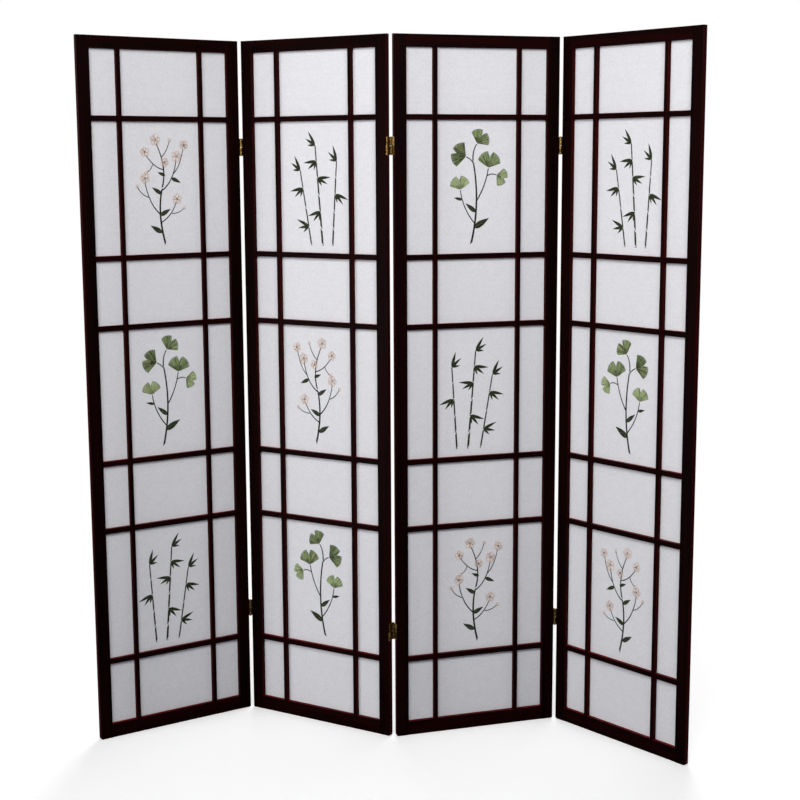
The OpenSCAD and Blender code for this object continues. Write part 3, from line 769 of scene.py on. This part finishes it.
def sew_bamboo(cloth):
    """Jointed canes from the foot of the window, leaves in threes."""
    joint_gap, narrowing, ring_reach = 1.2, 0.08, 0.68
    # Foot, top, width and number of joints
    for a, b, width, joints in (((-20, -140), (0, 104), 5.4, 6), ((-50, -140), (-64, 66), 4.4, 5),
                                ((14, -140), (46, 44), 3.8, 4)):
        a, b = np.array(a, float), np.array(b, float)
        for i in range(joints):
            low = a + (b - a) * i / joints
            high = a + (b - a) * (i + 1) / joints - [0, joint_gap]
            w = width * (1 - narrowing * i)
            cloth.stem(low, (low + high) / 2, high, w, w, OLIVE * 0.5)
            cloth.sew([low - [w * ring_reach, 0.4]], [low + [w * ring_reach, -0.2]], STEM,
                      width=1.3, lift=TOP_STITCH)
    # Foot of the three leaves, the first one's angle and the turn from each to the next
    for at, angle, turn in (((0, 102), 58, -30), ((-3, 63), -6, -32), ((-7, 22), 176, 30),
                            ((-64, 64), 74, -34), ((-61, -16), 200, 30), ((46, 42), 64, -32),
                            ((39, -2), -12, -30), ((-13, -58), -18, -32), ((22, -94), 24, -34)):
        for j, (length, width) in enumerate(((38, 7.5), (32, 6.8), (22, 6))):
            cloth.leaf(at, angle + j * turn, length, width)


def sew_blossom(cloth):
    """A slender branch with twigs, flowers, buds and a few leaves."""
    # Start, bend and end, and the widths at both ends
    for twig in (((8, -138), (-14, -60), (2, 0), 5.0, 3.8),
                 ((2, 0), (18, 50), (-12, 108), 3.8, 2.0),
                 ((-6, -62), (-36, -36), (-44, 16), 3.0, 1.8),
                 ((1, -6), (34, 14), (42, 68), 3.0, 1.9),
                 ((9, 44), (-18, 48), (-40, 80), 2.5, 1.7),
                 ((-5, -84), (26, -70), (40, -34), 2.8, 1.7),
                 ((33, 34), (54, 52), (62, 96), 2.2, 1.7),
                 ((-35, -22), (-54, -16), (-64, 2), 2.0, 1.5),
                 ((26, -62), (48, -62), (60, -50), 2.0, 1.5),
                 ((-22, 58), (-26, 44), (-38, 38), 1.8, 1.5),
                 ((2, 74), (18, 88), (24, 112), 2.0, 1.5)):
        cloth.stem(*twig)
    # Foot, angle, length and width
    for leaf in (((-1, -108), 150, 36, 12), ((-5, -66), 28, 32, 11), ((0, -14), 148, 30, 10),
                 ((28, 24), -24, 28, 9.5), ((11, 30), 158, 22, 8)):
        cloth.leaf(*leaf)
    # Middle, radius and angle
    for flower in (((-14, 116), 14, 10), ((-44, 24), 13, 40), ((43, 76), 14, 0),
                   ((-43, 87), 12, 25), ((64, 103), 12, 50), ((42, -27), 13, 15),
                   ((10, 62), 11, 60)):
        cloth.flower(*flower)
    for at in ((-65, 5), (62, -48), (-40, 38), (25, 115)):
        cloth.bud(at, 4)


def sew_ginkgo(cloth):
    """A slender stem with fan leaves."""
    # Twigs and plain leaves, written as in sew_blossom
    for twig in (((-14, -138), (12, -40), (-8, 60), 5.0, 3.4),
                 ((-8, 60), (-12, 84), (2, 104), 3.4, 2.2),
                 ((0.6, -34), (26, 4), (32, 46), 3.0, 2.2),
                 ((-4, -87), (-36, -52), (-42, -6), 2.8, 2.0),
                 ((28, 26), (40, 34), (54, 28), 2.2, 2.0),
                 ((-8, 56), (-12, 66), (-28, 72), 2.4, 2.2)):
        cloth.stem(*twig)
    for leaf in (((-6, -98), 30, 46, 15), ((-1, -60), 142, 34, 11), ((-37, -30), 168, 22, 7)):
        cloth.leaf(*leaf)
    # Foot, angle, radius, colour and share of olive stitches
    for fan in (((2, 104), 55, 35, GREEN, 0.35), ((-28, 72), 160, 39, GREEN, 0.5),
                ((32, 46), 82, 39, GREEN, 0.3), ((-42, -6), 98, 33, PALE_GREEN, 0.1),
                ((54, 28), -24, 29, PALE_GREEN, 0.08)):
        cloth.fan(*fan)


SEW = {"bamboo": sew_bamboo, "blossom": sew_blossom, "ginkgo": sew_ginkgo}


# Embroidery: stitches on the cloth ----------------------------------------------------------------

STITCH_SIDES, STITCH_STEPS_FRONT, STITCH_STEPS_BACK = 4, 4, 3
THREAD_H_FRONT, THREAD_H_BACK = 0.0005, 0.0004
# How far a stitch's middle lies from the cloth, and how much longer it is than its drawn ends
STITCH_LIFT, STITCH_EXTRA = 0.0001, 0.0002


def panel_stitches(k):
    """All stitches of a panel, in its frame: two ends as x and z, a width, a tint and a lift."""
    mm = 1000
    window_w, middle_x = UPRIGHT_X[1] - UPRIGHT_X[0] - UPRIGHT_W, (sum(UPRIGHT_X) + UPRIGHT_W) / 2
    field = np.array([window_w * mm - 2 * MOTIF_MARGIN, LARGE_WINDOW_H * mm - 2 * MOTIF_MARGIN])
    scale = field / (MOTIF_W, MOTIF_H) / mm
    mirror = [-1 if k % 2 == 0 else 1, 1]
    ends, widths, tints, lifts = [], [], [], []
    for row, kind in enumerate(MOTIF_ORDER[k - 1]):
        work = Sewing(100 * k + row)
        SEW[kind](work)
        middle_z = CROSSBAR_Z[2 * row] + CROSSBAR_H + LARGE_WINDOW_H / 2
        ends.append(np.array(work.ends).reshape(-1, 2, 2) * scale * mirror + [middle_x, middle_z])
        widths.append(np.array(work.widths) / mm)
        tints.append(np.array(work.tints))
        lifts.append(np.array(work.lifts) / mm)
    return [np.concatenate(part) for part in (ends, widths, tints, lifts)]


def stitch_tree():
    """Geometry nodes: a tapered, slightly domed length of thread on every point, laid along it."""
    tree = bpy.data.node_groups.new("stitches", "GeometryNodeTree")
    new_input(tree, "Geometry", GEOMETRY)
    sockets = {"Thread height": new_input(tree, "Thread height", FLOAT, THREAD_H_FRONT),
               "Sides": new_input(tree, "Sides", INTEGER, STITCH_SIDES),
               "Steps": new_input(tree, "Steps", INTEGER, STITCH_STEPS_FRONT),
               "Face": new_input(tree, "Face", VECTOR),
               "Thread": new_input(tree, "Thread", MATERIAL)}
    for label, least in (("Thread height", 0.0), ("Sides", 3), ("Steps", 2)):
        sockets[label].min_value = least
    tree.interface.new_socket("Geometry", in_out="OUTPUT", socket_type=GEOMETRY)
    given, out = tree.nodes.new("NodeGroupInput").outputs, tree.nodes.new("NodeGroupOutput").inputs

    # One thread of unit length and width. It swells from its ends, which dip into the cloth
    end_phase, fullness = 0.11, 0.55
    line = add(tree, "GeometryNodeCurvePrimitiveLine", {"Start": (-0.5, 0, 0), "End": (0.5, 0, 0)})
    line = add(tree, "GeometryNodeResampleCurve", {"Curve": line.outputs[0],
                                                   "Count": given["Steps"]}).outputs[0]
    along = add(tree, "GeometryNodeSplineParameter").outputs["Factor"]
    phase = maths(tree, "MULTIPLY_ADD", along, math.pi * (1 - 2 * end_phase), math.pi * end_phase)
    radius = maths(tree, "POWER", maths(tree, "SINE", phase), fullness)
    section = add(tree, "GeometryNodeCurvePrimitiveCircle", {"Resolution": given["Sides"],
                                                             "Radius": 0.5}).outputs[0]
    thread = add(tree, "GeometryNodeCurveToMesh", {"Curve": line, "Profile Curve": section,
                                                   "Scale": radius, "Fill Caps": True}).outputs[0]

    # On each point, along its heading and flat on the cloth
    heading, size = (add(tree, "GeometryNodeInputNamedAttribute", {"Name": name},
                         data_type="FLOAT_VECTOR").outputs[0] for name in ("heading", "size"))
    length, width, _ = parts_of(tree, size)
    scale = add(tree, "ShaderNodeCombineXYZ", {0: length, 1: width,
                                               2: given["Thread height"]}).outputs[0]
    turn = add(tree, "FunctionNodeAlignRotationToVector", {"Vector": heading}, axis="X").outputs[0]
    turn = add(tree, "FunctionNodeAlignRotationToVector",
               {"Rotation": turn, "Vector": given["Face"]}, axis="Z", pivot_axis="X").outputs[0]
    laid = add(tree, "GeometryNodeInstanceOnPoints",
               {"Points": given["Geometry"], "Instance": thread, "Rotation": turn,
                "Scale": scale}).outputs[0]
    laid = add(tree, "GeometryNodeRealizeInstances", {0: laid}).outputs[0]
    laid = add(tree, "GeometryNodeSetMaterial", {"Geometry": laid,
                                                 "Material": given["Thread"]}).outputs[0]
    tree.links.new(laid, out[0])
    return tree, {label: socket.identifier for label, socket in sockets.items()}


STITCH_TREE, STITCH_INPUTS = stitch_tree()


def apply_modifiers(obj):
    """Make the modifiers' result the object's plain mesh."""
    bpy.context.view_layer.update()
    evaluated = obj.evaluated_get(bpy.context.evaluated_depsgraph_get())
    mesh = bpy.data.meshes.new_from_object(evaluated)
    obj.modifiers.clear()
    old = obj.data
    obj.data = mesh
    bpy.data.meshes.remove(old)
    mesh.name = obj.name


def make_embroidery(k, material, face):
    """The stitches that show on one side of a panel's cloth: face -1 is its front, 1 its back."""
    front = face < 0
    ends, widths, tints, lifts = panel_stitches(k)
    middle = ends.mean(axis=1)
    x, z = middle[:, 0], middle[:, 1]
    surface = REBATE_Y + slack(x, z, k) + (0 if front else CLOTH_T)
    points = on_panel(np.stack([x, surface + face * (STITCH_LIFT + lifts), z], axis=1), k)
    along = ends[:, 1] - ends[:, 0]
    length = np.linalg.norm(along, axis=1)
    heading = directions_on_panel(np.stack([along[:, 0], 0 * x, along[:, 1]], axis=1), k)
    heading /= np.linalg.norm(heading, axis=1, keepdims=True)
    size = np.stack([length + STITCH_EXTRA, widths, widths], axis=1)
    tint = np.concatenate([tints, np.ones((len(tints), 1))], axis=1)

    obj = new_mesh_object(f"panel_{k}_stitches" if front else f"panel_{k}_stitches_reverse",
                          points, [])
    for label, kind, key, values in (("heading", "FLOAT_VECTOR", "vector", heading),
                                     ("size", "FLOAT_VECTOR", "vector", size),
                                     ("tint", "FLOAT_COLOR", "color", tint)):
        attribute = obj.data.attributes.new(label, kind, "POINT")
        attribute.data.foreach_set(key, values.astype(np.float32).ravel())
    modifier = obj.modifiers.new("stitches", "NODES")
    modifier.node_group = STITCH_TREE
    outwards = directions_on_panel([[0, face, 0]], k)[0]
    for label, value in (("Thread height", THREAD_H_FRONT if front else THREAD_H_BACK),
                         ("Sides", STITCH_SIDES),
                         ("Steps", STITCH_STEPS_FRONT if front else STITCH_STEPS_BACK),
                         ("Face", tuple(outwards)), ("Thread", material)):
        modifier[STITCH_INPUTS[label]] = value
    apply_modifiers(obj)
    shade_smooth(obj)
    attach(obj, f"panel_{k}")
    if front:
        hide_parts(f"panel_{k}_embroidery")
    return obj


# Stage --------------------------------------------------------------------------------------------

FLOOR_REACH, FLOOR_DROP = 30.0, 0.0005
# The camera sees a white floor, and its bounce on the screen is that of a cool grey one
FLOOR_SEEN, FLOOR_BOUNCE, FLOOR_LIFT = (0.95, 0.95, 0.95, 1), (0.325, 0.345, 0.39, 1), 0.3
# The floor keeps its shadow up to the first distance from the middle, and is plain white from the
# second
SHADOW_TO, WHITE_FROM = 1.0, 2.6
SURROUND_LIGHT = 0.12
# Name, place, what it is turned to, watts and width
LAMPS = (("key", (-0.8, -3.1, 3.0), (0, 0, 2.3), 72, 1.8),
         ("fill", (0.8, -2.4, 2.35), (0.2, 0, 1.8), 32, 1.2),
         ("side", (-3.6, -2.0, 0.8), (0.5, 0, 0.6), 50, 1.6),
         ("back", (0.5, 3.4, 3.2), (0, 0, 0.9), 130, 2.4))


def make_floor():
    """A plain pale floor that keeps the shadow near the screen."""
    r = FLOOR_REACH
    floor = new_mesh_object("floor", [(-r, -r, 0), (r, -r, 0), (r, r, 0), (-r, r, 0)],
                            [(0, 1, 2, 3)])
    floor.location.z = cad_box[0][2] - FLOOR_DROP
    material, tree, shader = new_material("pale_floor")
    set_uniform(shader, {"Roughness": 0.9, "Specular IOR Level": 0.0})
    seen = add(tree, "ShaderNodeLightPath").outputs["Is Camera Ray"]
    link_all(tree, {"Base Color": mix_colour(tree, seen, FLOOR_BOUNCE, FLOOR_SEEN)}, shader.inputs)
    distance = add(tree, "ShaderNodeVectorMath", {0: object_place(tree)},
                   operation="LENGTH").outputs["Value"]
    far = times(tree, spread(tree, distance, SHADOW_TO, WHITE_FROM), seen)
    lift = add(tree, "ShaderNodeEmission", {"Strength": times(tree, seen, FLOOR_LIFT)}).outputs[0]
    near = add(tree, "ShaderNodeAddShader", {0: shader.outputs[0], 1: lift}).outputs[0]
    white = add(tree, "ShaderNodeEmission", {"Color": WHITE, "Strength": 1.0}).outputs[0]
    blend = add(tree, "ShaderNodeMixShader", {0: far, 1: near, 2: white}).outputs[0]
    tree.links.new(blend, tree.nodes["Material Output"].inputs["Surface"])
    set_material(floor, material)


def make_surround():
    """A surround that the camera and gloss see white, and that lights the screen only a little."""
    world = bpy.data.worlds.new("white_surround")
    bpy.context.scene.world = world
    world.use_nodes = True
    tree = world.node_tree
    background = tree.nodes["Background"]
    rays = add(tree, "ShaderNodeLightPath").outputs
    mirrored = maths(tree, "MAXIMUM", rays["Is Glossy Ray"], rays["Is Transmission Ray"])
    seen = maths(tree, "MAXIMUM", rays["Is Camera Ray"], mirrored)
    strength = spread(tree, seen, 0.0, 1.0, to_low=SURROUND_LIGHT)
    link_all(tree, {"Strength": strength}, background.inputs)
    background.inputs["Color"].default_value = WHITE


def make_lamp(name, place, target, watts, size):
    """A soft square lamp, turned to its target."""
    data = bpy.data.lights.new(name, "AREA")
    data.shape, data.size, data.energy = "SQUARE", size, watts
    lamp = bpy.data.objects.new(name, data)
    lamp.location = place
    aim = Vector(target) - Vector(place)
    lamp.rotation_euler = aim.to_track_quat("-Z", "Y").to_euler()
    bpy.context.scene.collection.objects.link(lamp)


# The scene ----------------------------------------------------------------------------------------

make_camera()
make_floor()
make_surround()
for lamp in LAMPS:
    make_lamp(*lamp)
dress_frame_nodes()
cloth, thread = cloth_material(), thread_material()
for k in PANELS:
    stitches = [make_embroidery(k, thread, face) for face in (-1, 1)]
    make_cloth(k, cloth)

bpy.context.scene.view_settings.view_transform = "Standard"
